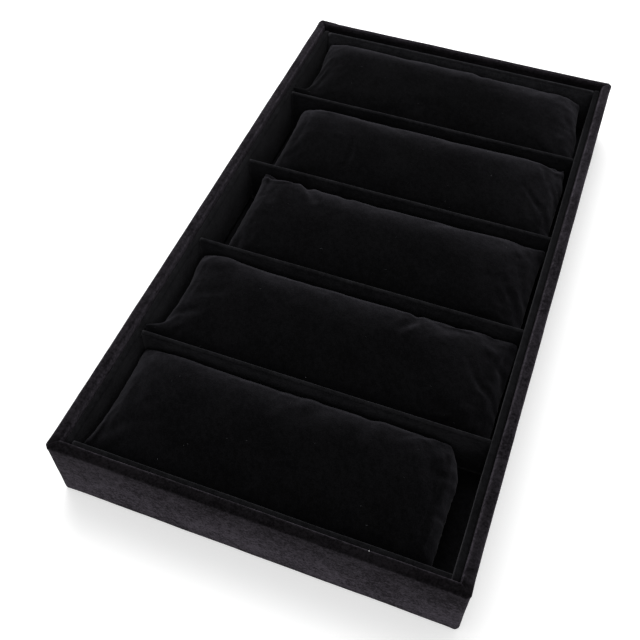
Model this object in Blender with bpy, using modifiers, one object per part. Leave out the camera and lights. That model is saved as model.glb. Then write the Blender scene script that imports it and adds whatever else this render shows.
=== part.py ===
"""Watch display tray: velvet-covered board tray, five compartments, five velvet pillows."""

import math

import bmesh
import bpy
from mathutils import Vector

# Driving dimensions, in metres. X is the width, Y the length (rear end at +Y), Z is up.
WIDTH = 0.210
LENGTH = 0.375
HEIGHT = 0.044
COMPARTMENTS = 5

# Clearance between pieces that touch or are glued together.
GLUE_GAP = 0.0003
# Thickness of the flocked velvet cloth.
VELVET = 0.0006
# Outside radius where the velvet goes round the rim and the upright corners, and the foot.
WRAP_RADIUS = 0.0022
FOOT_RADIUS = 0.0014
RE_ENTRANT_RADIUS = 0.0006
# Width of the cloth that is turned under the base board.
TURN_UNDER = 0.016

# Boards and cards.
BASE_BOARD = 0.003
WALL_BOARD = 0.004
FLOOR_CARD = 0.0012
LINER_CARD = 0.0018
DIVIDER_CARD = 0.001
UNDERSIDE_LINING = 0.0008
LINING_MARGIN = 0.005

# Upright linings and dividers stop this far below the rim.
STEP_DOWN = 0.004
# Radius where the velvet folds over a liner card, and over the thinner divider card.
LINER_FOLD = 0.0012
DIVIDER_FOLD = 0.0011

# Pillows, from the front compartment to the rear one. Each row gives the free room at the
# left and right end, how far the crown stays below the compartment's top, and for each ear
# its room to the side lining and its rise above the seam, in the order front left, rear
# left, front right, rear right.
PILLOW_ROWS = (
    (0.0010, 0.0090, 0.0016, ((0.0004, 0.008), (0.0010, 0.003), (0.0095, 0.002), (0.0190, 0.003))),
    (0.0030, 0.0046, 0.0016, ((0.0004, 0.012), (0.0025, 0.004), (0.0050, 0.002), (0.0040, 0.006))),
    (0.0105, 0.0050, 0.0016, ((0.0120, 0.002), (0.0115, 0.008), (0.0050, 0.003), (0.0045, 0.006))),
    (0.0095, 0.0046, 0.0016, ((0.0100, 0.002), (0.0095, 0.003), (0.0053, 0.002), (0.0017, 0.008))),
    (0.0034, 0.0040, 0.0010, ((0.0004, 0.013), (0.0023, 0.009), (0.0050, 0.002), (0.0040, 0.006))),
)
# The seam's height as a share of the pillow's thickness.
SEAM_LEVEL = 0.55
# Room between a pillow's long sides and the dividers.
PILLOW_SIDE_ROOM = 0.0002
# Half thickness of an ear, and how far the crown's edge pulls in over the end seam.
EAR_HALF = 0.0015
END_PULL_IN = 0.0022
# How much lower the crown is along the sides and at the ends, as shares of its height.
SIDE_FALL = 0.26
END_FALL = 0.60
# How far the sides draw in above and below the seam, as a share of the half width.
SIDE_TUCK = 0.06
# Powers that keep those falls close to the sides and to the ends.
SIDE_POWER = 4
END_POWER = 20
# Cuts in the pillow's cage along X, Y and Z.
PILLOW_CUTS = (9, 5, 1)

ARC_STEPS = 4

# Levels that follow from the sizes above.
COVER_FOOT = UNDERSIDE_LINING + GLUE_GAP
BASE_BOTTOM = COVER_FOOT + VELVET + GLUE_GAP
BASE_TOP = BASE_BOTTOM + BASE_BOARD
FLOOR_CARD_BOTTOM = BASE_TOP + GLUE_GAP
FLOOR_CARD_TOP = FLOOR_CARD_BOTTOM + FLOOR_CARD
FLOOR_TOP = FLOOR_CARD_TOP + GLUE_GAP + VELVET
STANDING = FLOOR_TOP + GLUE_GAP
INNER_TOP = HEIGHT - STEP_DOWN

# Distances in from the outer faces.
BOARD_INSET = VELVET + GLUE_GAP
BOARD_INNER = BOARD_INSET + WALL_BOARD
RIM_WIDTH = BOARD_INNER + GLUE_GAP + VELVET
LINER_OUTER = RIM_WIDTH + GLUE_GAP
LINER_WIDTH = LINER_CARD + 2 * (GLUE_GAP + VELVET)
LINER_INNER = LINER_OUTER + LINER_WIDTH
DIVIDER_WIDTH = DIVIDER_CARD + 2 * (GLUE_GAP + VELVET)

# The compartments between the linings.
CLEAR_WIDTH = WIDTH - 2 * LINER_INNER
CLEAR_LENGTH = LENGTH - 2 * LINER_INNER
DIVIDERS = COMPARTMENTS - 1
CELL_LENGTH = (CLEAR_LENGTH - DIVIDERS * DIVIDER_WIDTH) / COMPARTMENTS
CELL_PITCH = CELL_LENGTH + DIVIDER_WIDTH


def clear_scene():
    for item in list(bpy.data.objects):
        bpy.data.objects.remove(item, do_unlink=True)


def new_collection(name):
    collection = bpy.data.collections.new(name)
    bpy.context.scene.collection.children.link(collection)
    return collection


def material(name, colour, roughness, sheen=0.0):
    made = bpy.data.materials.new(name)
    made.use_nodes = True
    shader = made.node_tree.nodes["Principled BSDF"]
    shader.inputs["Base Color"].default_value = (*colour, 1.0)
    shader.inputs["Roughness"].default_value = roughness
    shader.inputs["Metallic"].default_value = 0.0
    shader.inputs["Sheen Weight"].default_value = sheen
    made.diffuse_color = (*colour, 1.0)
    return made


def add_object(name, data, finish, location=(0.0, 0.0, 0.0), rotation=(0.0, 0.0, 0.0)):
    item = bpy.data.objects.new(name, data)
    item.location = location
    item.rotation_euler = rotation
    data.materials.append(finish)
    PARTS.objects.link(item)
    return item


def mesh_from(bm, name):
    mesh = bpy.data.meshes.new(name)
    bm.to_mesh(mesh)
    bm.free()
    return mesh


def block(name, low, high, finish, rounded=None, radius=0.0):
    """A board or card between two corners. rounded(edge) picks the edges to round."""
    low = Vector(low)
    high = Vector(high)
    bm = bmesh.new()
    bmesh.ops.create_cube(bm, size=1.0)
    bmesh.ops.scale(bm, vec=high - low, verts=bm.verts)
    if rounded:
        edges = [edge for edge in bm.edges if rounded(edge)]
        bmesh.ops.bevel(bm, geom=edges, offset=radius, segments=ARC_STEPS, profile=0.5,
                        affect="EDGES", clamp_overlap=True)
    return add_object(name, mesh_from(bm, name), finish, (low + high) / 2)


def edge_middle(edge):
    return (edge.verts[0].co + edge.verts[1].co) / 2


def edge_along(edge, axis):
    difference = edge.verts[0].co - edge.verts[1].co
    return all(abs(difference[other]) < 1e-6 for other in range(3) if other != axis)


def arc(centre, radius, start, end, steps=ARC_STEPS):
    """Points on an arc from start to end, in degrees, both ends included."""
    points = []
    for step in range(steps + 1):
        angle = math.radians(start + (end - start) * step / steps)
        points.append((centre[0] + radius * math.cos(angle),
                       centre[1] + radius * math.sin(angle)))
    return points


def rounded_rectangle(half_x, half_y, radius):
    points = []
    for quarter, (side_x, side_y) in enumerate(((1, 1), (-1, 1), (-1, -1), (1, -1))):
        centre = (side_x * (half_x - radius), side_y * (half_y - radius))
        points += arc(centre, radius, 90 * quarter, 90 * quarter + 90)
    return points


def extruded(name, outline, depth, finish, location, rotation=(0.0, 0.0, 0.0)):
    """A flat outline given a thickness of depth, half of it on each side."""
    curve = bpy.data.curves.new(name, "CURVE")
    curve.dimensions = "2D"
    curve.fill_mode = "BOTH"
    curve.extrude = depth / 2
    spline = curve.splines.new("POLY")
    spline.points.add(len(outline) - 1)
    for point, (across, up) in zip(spline.points, outline):
        point.co = (across, up, 0.0, 1.0)
    spline.use_cyclic_u = True
    return add_object(name, curve, finish, location, rotation)


def fold_outline(width, height, fold):
    """Section of cloth folded over the top of a card, open at the foot."""
    half = width / 2
    outside = arc((half - fold, height - fold), fold, 0, 90)
    outside += arc((fold - half, height - fold), fold, 90, 180)
    inside = arc((fold - half, height - fold), fold - VELVET, 180, 90)
    inside += arc((half - fold, height - fold), fold - VELVET, 90, 0)
    return ([(half, 0.0)] + outside + [(-half, 0.0), (VELVET - half, 0.0)]
            + inside + [(half - VELVET, 0.0)])


# Turns that stand a section upright, running along X or along Y.
ALONG_X = (math.radians(90), 0.0, math.radians(90))
ALONG_Y = (math.radians(90), 0.0, 0.0)


def wrapped_card(names, card, width, fold, length, centre, along_x, finishes):
    """A card with velvet folded over its top, standing on the tray's floor."""
    card_name, velvet_name = names
    card_finish, velvet_finish = finishes
    height = INNER_TOP - STANDING
    turn = ALONG_X if along_x else ALONG_Y
    extruded(velvet_name, fold_outline(width, height, fold), length, velvet_finish,
             (*centre, STANDING), turn)
    half = Vector((length, card)) / 2 if along_x else Vector((card, length)) / 2
    low = (centre[0] - half.x, centre[1] - half.y, STANDING)
    high = (centre[0] + half.x, centre[1] + half.y, INNER_TOP - VELVET - GLUE_GAP)
    block(card_name, low, high, card_finish)


def base_and_lining():
    board_radius = WRAP_RADIUS - BOARD_INSET
    outline = rounded_rectangle(WIDTH / 2 - BOARD_INSET, LENGTH / 2 - BOARD_INSET, board_radius)
    extruded("base_board", outline, BASE_BOARD, BOARD, (0.0, 0.0, BASE_BOTTOM + BASE_BOARD / 2))
    half_x = WIDTH / 2 - LINING_MARGIN
    half_y = LENGTH / 2 - LINING_MARGIN
    block("underside_lining", (-half_x, -half_y, 0.0), (half_x, half_y, UNDERSIDE_LINING), FELT)


def wall_boards():
    radius = WRAP_RADIUS - BOARD_INSET
    bottom = BASE_TOP + GLUE_GAP
    top = HEIGHT - BOARD_INSET
    outer_x = WIDTH / 2 - BOARD_INSET
    inner_x = WIDTH / 2 - BOARD_INNER
    outer_y = LENGTH / 2 - BOARD_INSET
    inner_y = LENGTH / 2 - BOARD_INNER
    for side, name in ((-1, "left_side_board"), (1, "right_side_board")):

        def side_rounded(edge, side=side):
            middle = edge_middle(edge)
            long_top = edge_along(edge, 1) and middle.z > 0
            outer_corner = edge_along(edge, 2) and middle.x * side > 0
            end_top = edge_along(edge, 0) and middle.z > 0
            return long_top or outer_corner or end_top

        x_range = sorted((side * inner_x, side * outer_x))
        block(name, (x_range[0], -outer_y, bottom), (x_range[1], outer_y, top), BOARD,
              side_rounded, radius)

    def end_rounded(edge):
        return edge_along(edge, 0) and edge_middle(edge).z > 0

    half_x = inner_x - GLUE_GAP
    for side, name in ((-1, "front_end_board"), (1, "rear_end_board")):
        y_range = sorted((side * inner_y, side * outer_y))
        block(name, (-half_x, y_range[0], bottom), (half_x, y_range[1], top), BOARD,
              end_rounded, radius)


def cover_rings():
    """Inset, height and corner radius of each ring of the outer cloth's visible face."""
    foot = COVER_FOOT + FOOT_RADIUS
    rim = HEIGHT - WRAP_RADIUS
    section = [(TURN_UNDER, COVER_FOOT)]
    section += arc((FOOT_RADIUS, foot), FOOT_RADIUS, 270, 180)
    section += arc((WRAP_RADIUS, rim), WRAP_RADIUS, 180, 90)
    section += arc((RIM_WIDTH - WRAP_RADIUS, rim), WRAP_RADIUS, 90, 0)
    section += [(RIM_WIDTH, BASE_TOP + GLUE_GAP)]
    rings = []
    for inset, height in section:
        share = min(inset / RIM_WIDTH, 1.0)
        radius = WRAP_RADIUS + (RE_ENTRANT_RADIUS - WRAP_RADIUS) * share
        rings.append((inset, height, radius))
    return rings


def outer_cover():
    """The cloth round the outside: turned under, up the face, over the rim and down inside."""
    bm = bmesh.new()
    loops = []
    for inset, height, radius in cover_rings():
        plan = rounded_rectangle(WIDTH / 2 - inset, LENGTH / 2 - inset, radius)
        loops.append([bm.verts.new((x, y, height)) for x, y in plan])
    for lower, upper in zip(loops, loops[1:]):
        for index in range(len(lower)):
            following = (index + 1) % len(lower)
            bm.faces.new((lower[index], lower[following], upper[following], upper[index]))
    cover = add_object("outer_velvet_cover", mesh_from(bm, "outer_velvet_cover"), OUTER_VELVET)
    thickness = cover.modifiers.new("Cloth", "SOLIDIFY")
    thickness.thickness = VELVET
    thickness.offset = -1.0
    thickness.use_even_offset = True
    return cover


def floor_panel():
    """A card laid on the base, with velvet turned down round its four edges."""
    half_x = WIDTH / 2 - LINER_OUTER
    half_y = LENGTH / 2 - LINER_OUTER
    card_x = half_x - VELVET - GLUE_GAP
    card_y = half_y - VELVET - GLUE_GAP
    block("floor_card", (-card_x, -card_y, FLOOR_CARD_BOTTOM), (card_x, card_y, FLOOR_CARD_TOP),
          CARD)
    bm = bmesh.new()
    bmesh.ops.create_cube(bm, size=1.0)
    depth = FLOOR_TOP - FLOOR_CARD_BOTTOM
    bmesh.ops.scale(bm, vec=(2 * half_x, 2 * half_y, depth), verts=bm.verts)
    under = [face for face in bm.faces if face.normal.z < -0.5]
    bmesh.ops.delete(bm, geom=under, context="FACES_ONLY")
    velvet = add_object("floor_velvet", mesh_from(bm, "floor_velvet"), LINING_VELVET,
                        (0.0, 0.0, FLOOR_TOP - depth / 2))
    thickness = velvet.modifiers.new("Cloth", "SOLIDIFY")
    thickness.thickness = VELVET
    thickness.offset = -1.0
    thickness.use_even_offset = True


def wall_linings():
    middle_x = WIDTH / 2 - LINER_OUTER - LINER_WIDTH / 2
    middle_y = LENGTH / 2 - LINER_OUTER - LINER_WIDTH / 2
    side_length = LENGTH - 2 * LINER_OUTER
    end_length = CLEAR_WIDTH - 2 * GLUE_GAP
    finishes = (CARD, LINING_VELVET)
    for side, name in ((-1, "left"), (1, "right")):
        wrapped_card((name + "_lining_card", name + "_lining_velvet"), LINER_CARD, LINER_WIDTH,
                     LINER_FOLD, side_length, (side * middle_x, 0.0), False, finishes)
    for side, name in ((-1, "front"), (1, "rear")):
        wrapped_card((name + "_lining_card", name + "_lining_velvet"), LINER_CARD, LINER_WIDTH,
                     LINER_FOLD, end_length, (0.0, side * middle_y), True, finishes)


def dividers():
    length = CLEAR_WIDTH - 2 * GLUE_GAP
    for number in range(1, COMPARTMENTS):
        middle_y = (number - COMPARTMENTS / 2) * CELL_PITCH
        names = (f"divider_{number}_card", f"divider_{number}_velvet")
        wrapped_card(names, DIVIDER_CARD, DIVIDER_WIDTH, DIVIDER_FOLD, length,
                     (0.0, middle_y), True, (CARD, LINING_VELVET))


def pillow_point(share, size, side_middle, ears):
    """Place a cage corner. The three shares run from -1 to 1 over the pillow's box."""
    half_x, half_y, thickness = size
    along = math.sin(share.x * math.pi / 2)
    across = math.sin(share.y * math.pi / 2)
    end = abs(along) ** END_POWER
    side = abs(across) ** SIDE_POWER
    corner = end * side
    seam = thickness * SEAM_LEVEL
    fullness = (1 - SIDE_FALL * side) * (1 - END_FALL * end)
    level = seam
    if abs(share.z) > 0.5:
        body = (thickness - seam if share.z > 0 else -seam) * fullness
        level += body + (math.copysign(EAR_HALF, share.z) - body) * corner
    ear_room, rise = ears[(across > 0) + 2 * (along > 0)]
    ear_out = CLEAR_WIDTH / 2 - ear_room - side_middle
    out = half_x - END_PULL_IN * end * abs(share.z)
    out += (ear_out - out) * corner
    half_width = half_y * (1 - SIDE_TUCK * abs(share.z) * side * (1 - end))
    return Vector((along * out, across * half_width, level + rise * corner))


def sharpen_ears(bm):
    """Keep the four upright corner edges of a pillow's cage from being rounded away."""
    crease = bm.edges.layers.float.new("crease_edge")
    for edge in bm.edges:
        middle = edge_middle(edge)
        if edge_along(edge, 2) and min(abs(middle.x), abs(middle.y)) > 0.999:
            edge[crease] = 1.0


def pillow(index):
    """A filled bag: crowned, flat where it rests, closed by a seam at each end with two ears."""
    name = f"pillow_{index + 1}"
    left_room, right_room, crown_room, ears = PILLOW_ROWS[index % len(PILLOW_ROWS)]
    thickness = INNER_TOP - STANDING - crown_room
    half_x = (CLEAR_WIDTH - left_room - right_room) / 2
    half_y = CELL_LENGTH / 2 - PILLOW_SIDE_ROOM
    bm = bmesh.new()
    bmesh.ops.create_cube(bm, size=2.0)
    for axis, cuts in enumerate(PILLOW_CUTS):
        edges = [edge for edge in bm.edges if edge_along(edge, axis)]
        bmesh.ops.subdivide_edges(bm, edges=edges, cuts=cuts, use_grid_fill=True)
    sharpen_ears(bm)
    middle_x = (left_room - right_room) / 2
    middle_y = (index + 0.5 - COMPARTMENTS / 2) * CELL_PITCH
    for vert in bm.verts:
        side_middle = middle_x if vert.co.x > 0 else -middle_x
        vert.co = pillow_point(vert.co, (half_x, half_y, thickness), side_middle, ears)
    bag = add_object(name, mesh_from(bm, name), PILLOW_VELVET, (middle_x, middle_y, STANDING))
    smooth = bag.modifiers.new("Soft form", "SUBSURF")
    smooth.levels = 1
    smooth.render_levels = 1
    bag.data.shade_smooth()


clear_scene()
PARTS = new_collection("watch_display_tray")

BLACK = (0.010, 0.010, 0.012)
OUTER_VELVET = material("outer_velvet", BLACK, 0.95, 0.3)
LINING_VELVET = material("lining_velvet", BLACK, 0.95, 0.3)
PILLOW_VELVET = material("pillow_velvet", BLACK, 0.95, 0.4)
BOARD = material("fibreboard", (0.30, 0.22, 0.14), 0.85)
CARD = material("grey_card", (0.32, 0.31, 0.29), 0.90)
FELT = material("black_felt", (0.015, 0.015, 0.016), 0.98)

base_and_lining()
wall_boards()
outer_cover()
floor_panel()
wall_linings()
dividers()
for compartment in range(COMPARTMENTS):
    pillow(compartment)
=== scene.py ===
"""The looks of a watch display tray: black velvet over board, and five filled velvet pillows."""

import math
import random

import bmesh
import bpy
import numpy
from mathutils import Matrix, Vector, noise
from mathutils.bvhtree import BVHTree


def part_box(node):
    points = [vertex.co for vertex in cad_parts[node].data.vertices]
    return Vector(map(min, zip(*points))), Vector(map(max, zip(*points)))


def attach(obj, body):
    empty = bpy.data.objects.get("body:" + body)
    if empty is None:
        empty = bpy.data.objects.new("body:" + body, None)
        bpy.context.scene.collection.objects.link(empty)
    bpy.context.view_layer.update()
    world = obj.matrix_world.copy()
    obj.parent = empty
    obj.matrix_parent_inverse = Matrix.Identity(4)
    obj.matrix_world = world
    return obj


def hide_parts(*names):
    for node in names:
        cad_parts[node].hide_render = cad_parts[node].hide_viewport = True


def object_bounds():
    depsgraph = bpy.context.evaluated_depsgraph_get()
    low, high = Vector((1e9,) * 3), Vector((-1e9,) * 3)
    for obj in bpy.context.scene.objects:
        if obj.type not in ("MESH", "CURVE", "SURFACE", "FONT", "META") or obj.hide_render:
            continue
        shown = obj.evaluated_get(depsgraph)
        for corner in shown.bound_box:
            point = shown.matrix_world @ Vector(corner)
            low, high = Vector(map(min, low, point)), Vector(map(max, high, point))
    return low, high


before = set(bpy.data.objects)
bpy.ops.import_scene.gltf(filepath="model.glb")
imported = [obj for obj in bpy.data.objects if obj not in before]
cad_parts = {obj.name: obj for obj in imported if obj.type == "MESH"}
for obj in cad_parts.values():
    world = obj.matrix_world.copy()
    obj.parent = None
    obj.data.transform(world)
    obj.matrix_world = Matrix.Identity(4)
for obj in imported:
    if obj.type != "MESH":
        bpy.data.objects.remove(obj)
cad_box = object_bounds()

MM = 0.001

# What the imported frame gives.
TRAY_LOW, TRAY_HIGH = cad_box
LINING_LOW, LINING_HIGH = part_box("left_lining_velvet")
FLOOR_LOW, FLOOR_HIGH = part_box("floor_velvet")
COVER_LOW, COVER_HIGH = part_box("outer_velvet_cover")

# The cloth's thickness, and the gap that pieces which touch keep.
CLOTH = 0.6 * MM
GAP = 0.3 * MM
# Width of the rim, and how far a compartment reaches to each side.
RIM_WIDTH = LINING_LOW.x - GAP - TRAY_LOW.x
CELL_END = -LINING_HIGH.x - GAP

# How the velvet lies on the boards.
WRAP_RADIUS = 2.2 * MM
FOOT_RADIUS = 1.4 * MM
INNER_CORNER = 0.6 * MM
TURN_UNDER = 16 * MM
COVER_STEP = 3 * MM
BEND_STEPS = 8
FOOT_STEPS = 5
COVER_RIPPLE = 0.16 * MM
COVER_RIPPLE_SCALE = 38.0
FINE_RIPPLE = 0.5 * COVER_RIPPLE
FINE_RIPPLE_SCALE = 120.0
FINE_RIPPLE_SEED = 7.0
CORNER_FOLD_DEPTH = 0.35 * MM
CORNER_FOLD_WIDTH = 0.7 * MM
CORNER_SWELL = 0.30 * MM
CORNER_REACH = 1.6 * RIM_WIDTH
RIM_DEPTH = 1.5 * WRAP_RADIUS
FOOT_DEPTH = 0.5 * FOOT_RADIUS
SEAM_PLACE = TRAY_LOW.x + 14 * MM
SEAM_STEP = 0.35 * MM

# How velvet is folded over the lining cards and the dividers.
LINING_FOLD = 1.2 * MM
DIVIDER_FOLD = 1.1 * MM
FOLD_STEPS = 6
STRIP_STEP = 2.5 * MM
LINING_WAVER = 0.35 * MM
DIVIDER_WAVER = 0.25 * MM
WAVER_SCALE = 22.0

# How the floor's velvet lies.
FLOOR_STEP = 4 * MM
FLOOR_RIPPLE = 0.12 * MM
FLOOR_RIPPLE_SCALE = 60.0
FLOOR_PRESSED = 0.1 * MM

# How the pillows are blown up.
PILLOW_VOXEL = 2.4 * MM
PILLOW_PRESSURE = 4.0
PILLOW_FRAMES = 20
PILLOW_CAP = 2.5 * MM
LOOSE_CLOTH = -0.02
HELD_END_NORMAL = 0.6
SMOOTHING_ROUNDS = 25
SMOOTH_SHARE = 0.15
WRINKLE_SHARE = 0.6
SIDE_CLEARANCE = 0.1 * MM
TOP_ROOM = 2 * MM
END_GATHER = 0.10 * MM
END_GATHER_REACH = 9 * MM
END_GATHER_WAVE = 7.5 * MM
END_GATHER_WAVER = 2.5
END_GATHER_WAVER_SCALE = 60.0
# Unevenness of the filling: waves per metre and their height.
UNEVEN_FILLING = ((45.0, 0.35 * MM), (140.0, 0.12 * MM))
SEAM_GROOVE = 0.35 * MM
SEAM_HALF_WIDTH = 0.8 * MM
SEAM_LEVEL = 0.55
STITCH_SPACING = 3.2 * MM
STITCH_LENGTH = 2.1 * MM
STITCH_RADIUS = 0.17 * MM
STITCH_END_ROOM = 3 * MM

# A crease's raised lips, as shares of its depth and half width, and its tapered ends.
CREASE_LIP = 0.45
CREASE_LIP_AWAY = 1.9
CREASE_END = 0.05
# Creases and swells fade out where the cloth turns down: how steeply, and from where.
CREASE_FADE = 3.0
SWELL_FADE = 0.6

# Each pillow's creases: plan points, depth and half width in mm. A negative depth is a ridge.
CREASES = {
    1: (([(33, -108), (36, -116), (35, -124)], 0.7, 3.5),
        ([(3, -108), (4, -115), (2, -122)], -0.5, 4.0),
        ([(73, -109), (69, -122), (75, -142)], 0.45, 3.0),
        ([(86, -128), (79, -132), (73, -131)], 0.25, 2.0),
        ([(85, -150), (79, -152)], 0.45, 1.4),
        ([(-72, -145), (-66, -140)], 0.15, 2.0),
        ([(-88, -168), (-76, -158), (-60, -152)], 0.35, 3.2)),
    2: (([(38, -37), (38, -48), (33, -56)], 1.0, 2.4),
        ([(81, -56), (88, -63), (90, -79)], 0.45, 1.8),
        ([(78, -72), (86, -80), (90, -87)], 0.5, 1.6),
        ([(88, -42), (86, -60), (90, -70)], 0.45, 1.5),
        ([(72, -62), (80, -76)], 0.4, 1.8),
        ([(-94, -96), (-86, -86), (-74, -82)], 0.55, 2.2)),
    3: (([(-84, 32), (-73, 29.5), (-62, 31)], 1.6, 1.3),
        ([(-57, 35), (-52, 28), (-45, 18)], 1.3, 2.2),
        ([(75, 0), (83, -14), (88, -26)], 0.5, 1.8),
        ([(82, 12), (86, -6), (90, -14)], 0.4, 1.6),
        ([(-30, 34), (-26, 22)], 0.5, 3.0)),
    4: (([(-41, 78), (-38, 66), (-37, 54)], 0.60, 1.5),
        ([(-54, 80), (-46, 78)], -0.30, 2.0),
        ([(71, 76), (82, 63), (88, 50)], 0.55, 1.7),
        ([(78, 98), (88, 76), (91, 55)], 0.6, 1.6),
        ([(84, 92), (91, 78)], 0.4, 1.4),
        ([(78, 104), (86, 101), (92, 104)], 0.7, 1.6)),
    5: (([(-92, 120), (-87, 136), (-84, 152)], 0.7, 1.8),
        ([(-94, 137), (-92, 150), (-90, 168)], -0.6, 1.6),
        ([(20, 178), (18, 166)], 0.5, 3.0),
        ([(84, 150), (88, 136), (86, 124)], 0.3, 2.0)),
}

# Where the filling stands fuller: plan points in mm, height and half width in mm.
SWELLS = {
    1: (([(87, -120), (87, -130)], 2.0, 6.5),),
    2: (([(-88, -47), (-78, -43)], 1.8, 9.0),),
    3: (([(-80, 22), (-66, 27)], 0.9, 9.0),),
    4: (([(-78, 98), (66, 99)], 1.3, 12.0),),
    5: (([(-80, 167), (8, 170)], 1.9, 13.0), ([(20, 170), (60, 170)], 0.6, 12.0)),
}

# Where a bag's end or ear is drawn to: plan points in mm, the pull and its half width in mm.
PULLS = {
    2: (([(91, -104), (91, -37)], (4.4, 0.0, 0.0), 9.0),
        ([(-96, -106), (-94, -103)], (-2.5, 0.0, 6.0), 6.5)),
    3: (([(91, -34), (91, 34)], (4.0, 0.0, 0.0), 9.0),
        ([(91, 32), (91, 36)], (1.5, 0.0, 1.0), 6.0),
        ([(-85, 34), (-80, 33)], (-1.2, 0.0, 2.5), 5.0)),
    4: (([(91, 36), (91, 88)], (3.8, 0.0, 0.0), 9.5),),
    5: (([(91, 109), (91, 138)], (3.4, 0.0, 0.0), 11.0),
        ([(91, 172), (91, 178)], (-1.2, 0.0, -1.5), 9.0),
        ([(-96, 109), (-94, 112)], (-2.5, 0.0, 5.5), 6.5)),
}

# Stray fibres on the cloth.
LINT_FIBRES = 90
LINT_SEED = 11
LINT_LENGTH = 1.5 * MM
LINT_RADIUS = 0.035 * MM
LINT_BOW = 0.3 * MM
LINT_SIZES = (0.5, 1.2)
LINT_TILT = 0.3
LINT_ABOVE = 25 * MM
KNOT_RADIUS = 4 * LINT_RADIUS
FLECK_FIBRES = 5
FLECK_SIZE = 0.45
FLECK_TILT = 0.6
FLECK_LIFT = 0.1 * MM
# Three bright flecks of lint, in mm on the plan.
FLECKS = ((98.5, 139.6), (29.1, 175.5), (57.6, -182.5))
# Where the rays that look for the cloth start: above the tray and beside it.
ABOVE_TRAY = 0.1
BESIDE_TRAY = 0.12

# The pile's mottling: marks per metre and share of each layer, and the range that shows.
PATCH_SCALE = 55.0
PATCH_SHARE = 0.24
BRUSH_SCALE = 430.0
BRUSH_SHARE = 0.32
GRAIN_SHARE = 0.44
BRUSH_STRETCH = (0.75, 1.0, 1.0)
PILE_LOW = 0.42
PILE_HIGH = 0.59
# The pile's relief: tufts beside the grain, and depths.
TUFT_SCALE = 0.4
TUFT_SHARE = 0.6
PATCH_DEPTH = 0.9 * MM
PATCH_STRENGTH = 0.15
PILE_DEPTH = 0.25 * MM
PILE_STRENGTH = 0.5
PILE_SHEEN = 0.03
PILE_SHEEN_ROUGHNESS = 0.35

# How far the pile's lean tilts the normal of the painted sheen, and how it leans on each piece; it
# steers where the painted sheen lightens the velvet and where it stays dark.
SHEEN_LEAN_STRENGTH = 0.35
PILLOW_LEAN = 1.45
PILLOW_LEAN_REARWARD = 5.0
PILLOW_LEAN_FROM = -2 * MM
PILLOW_LEAN_LOST = 36 * MM
RIGHT_END_FROM = 25 * MM
RIGHT_END_LENGTH = 60 * MM
RIGHT_END_LOST = 0.75
REAR_LINING_LEAN = 2.2
LINING_LEAN_REARWARD = 6.0
WALL_LEAN_FOOT = 1.3
SIDE_LEAN_BACK = 1.22
SIDE_LEAN_CHANGE = -3.0
REAR_LEAN_BACK = 0.5
EDGE_LEAN = 1.6
EDGE_LEAN_WIDTH = 0.7 * MM

# The photograph's camera, the pale floor, the surroundings and the lamps.
CAMERA_PLACE = (0.0915, -0.3340, 0.4104)
CAMERA_AIM = (-0.0145, -0.0527, 0.0200)
CAMERA_LENS = 48.94
CAMERA_FILM = 36.0
CAMERA_NEAREST = 0.01
GROUND_SIZE = 30.0
GROUND_TONE = 0.86
GROUND_GLOW = 0.40
AMBIENT = 0.55
BACKDROP = 1.0
LAMPS = {
    "overhead_softbox": {"place": (-0.25, 0.45, 0.95), "size": 0.8, "power": 9.0},
    "front_fill": {"place": (0.35, -0.9, 0.55), "size": 0.7, "power": 2.0},
}


def new_mesh_object(name, mesh):
    item = bpy.data.objects.new(name, mesh)
    bpy.context.scene.collection.objects.link(item)
    return item


def object_from_bmesh(name, bm):
    mesh = bpy.data.meshes.new(name)
    bm.to_mesh(mesh)
    bm.free()
    return new_mesh_object(name, mesh)


def made_plain(item):
    """Turn an object with modifiers into one plain mesh object of the same name at the origin."""
    bpy.context.view_layer.update()
    evaluated = item.evaluated_get(bpy.context.evaluated_depsgraph_get())
    mesh = bpy.data.meshes.new_from_object(evaluated)
    mesh.transform(item.matrix_world)
    kept_name = item.name
    plain = new_mesh_object(kept_name + "_plain", mesh)
    bpy.data.objects.remove(item)
    plain.name = kept_name
    return plain


def add_modifier(item, kind, **settings):
    modifier = item.modifiers.new(kind.title(), kind)
    for key, value in settings.items():
        setattr(modifier, key, value)
    return modifier


def finished(piece, material, slot, *nodes):
    """Give a piece its material, hide the solids of the frame it stands for, and hang it on the
    root body.
    """
    piece.data.materials.clear()
    piece.data.materials.append(material)
    piece.data.shade_smooth()
    if nodes:
        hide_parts(*nodes)
    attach(piece, "root")


def lean_painted_sheen(mesh, directions):
    """Keep which way the pile leans at each point of a mesh; this only steers the painted sheen in
    the velvet's base colour.
    """
    nap = mesh.attributes.new("nap", "FLOAT_VECTOR", "POINT")
    nap.data.foreach_set("vector", numpy.ravel(directions))


class NodeTree:
    """A short way to write a material's or a geometry group's nodes."""

    def __init__(self, tree):
        self.tree = tree

    def add(self, kind, values=None, **settings):
        node = self.tree.nodes.new(kind)
        for key, value in settings.items():
            setattr(node, key, value)
        for key, value in (values or {}).items():
            if isinstance(value, bpy.types.NodeSocket):
                self.tree.links.new(value, node.inputs[key])
            else:
                node.inputs[key].default_value = value
        return node


def grey(level, tint=(1.0, 1.0, 1.0)):
    return (level * tint[0], level * tint[1], level * tint[2], 1.0)


def noise_node(nodes, vector, scale, detail=2.0, roughness=0.5):
    made = nodes.add("ShaderNodeTexNoise", {"Vector": vector, "Scale": scale, "Detail": detail,
                                            "Roughness": roughness})
    return made.outputs["Fac"]


def ramp(nodes, factor, stops):
    made = nodes.add("ShaderNodeValToRGB", {"Fac": factor})
    elements = made.color_ramp.elements
    while len(elements) < len(stops):
        elements.new(0.5)
    for element, (place, colour) in zip(elements, stops):
        element.position = place
        element.color = colour
    return made.outputs["Color"]


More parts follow.
